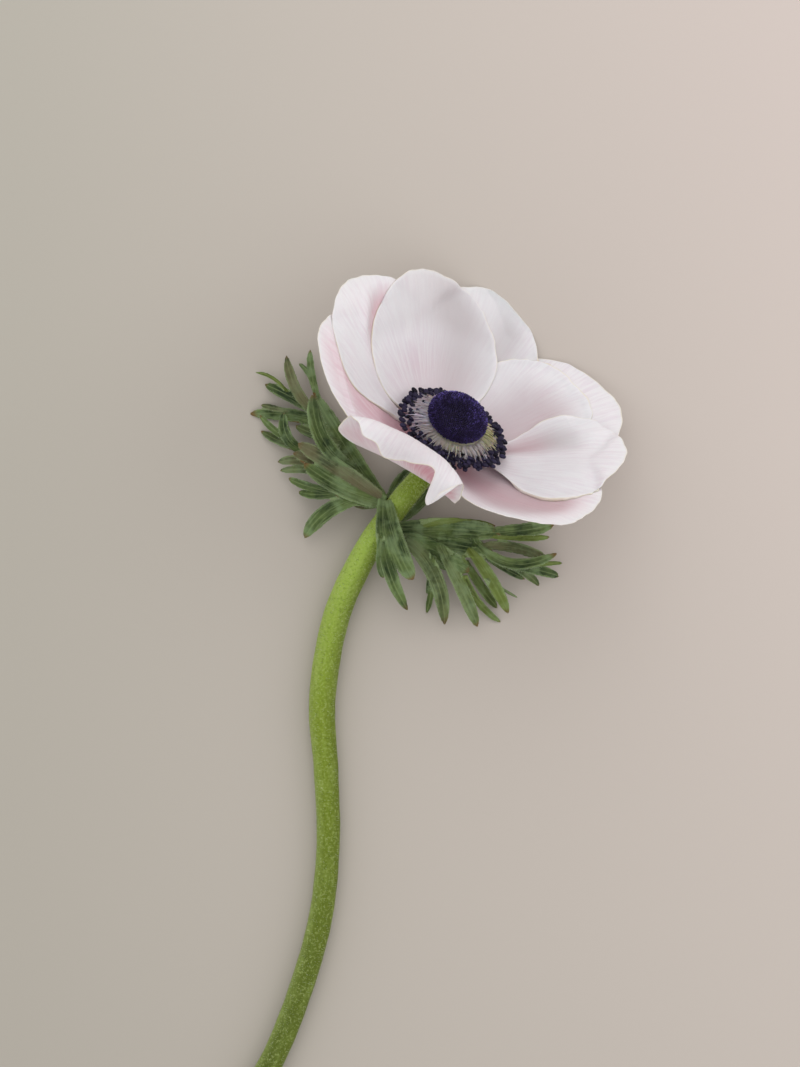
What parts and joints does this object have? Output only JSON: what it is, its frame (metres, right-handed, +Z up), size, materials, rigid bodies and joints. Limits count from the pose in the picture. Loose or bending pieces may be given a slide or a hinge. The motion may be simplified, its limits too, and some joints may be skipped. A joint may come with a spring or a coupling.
{
  "type": "anemone flower",
  "caption": "Cut anemone flower lying on its curved stem: open cup of white tepals round a dark violet eye, with a collar of divided green leaves.",
  "frame": {"origin": "middle of the outline seen from above, at the surface that the flower lies on", "axes": "+Z up from the surface, +Y along the longest extent from the cut end to the bloom, +X to the right of it"},
  "size_m": [0.108, 0.2292, 0.0504],
  "materials": {
    "stem": "fresh green stalk, finely hairy, satin",
    "pistil": "dark violet velvety dome of packed pistils",
    "stamens": "navy black anthers on pale filaments",
    "tepal": "white with a pink blush, silky, slightly translucent",
    "bract": "mid green with a blue-grey bloom, matte"
  },
  "bodies": {
    "root": {"stem": "stem", "pistil": "pistil", "stamens": "stamens", "tepal_top": "tepal", "tepal_upper_left": "tepal", "tepal_far_left": "tepal", "tepal_front": "tepal", "tepal_bottom": "tepal", "tepal_right_low": "tepal", "tepal_far_right": "tepal", "tepal_right": "tepal", "tepal_upper_right": "tepal", "bract_left": "bract", "bract_right": "bract", "bract_back": "bract"}
  },
  "joints": []
}
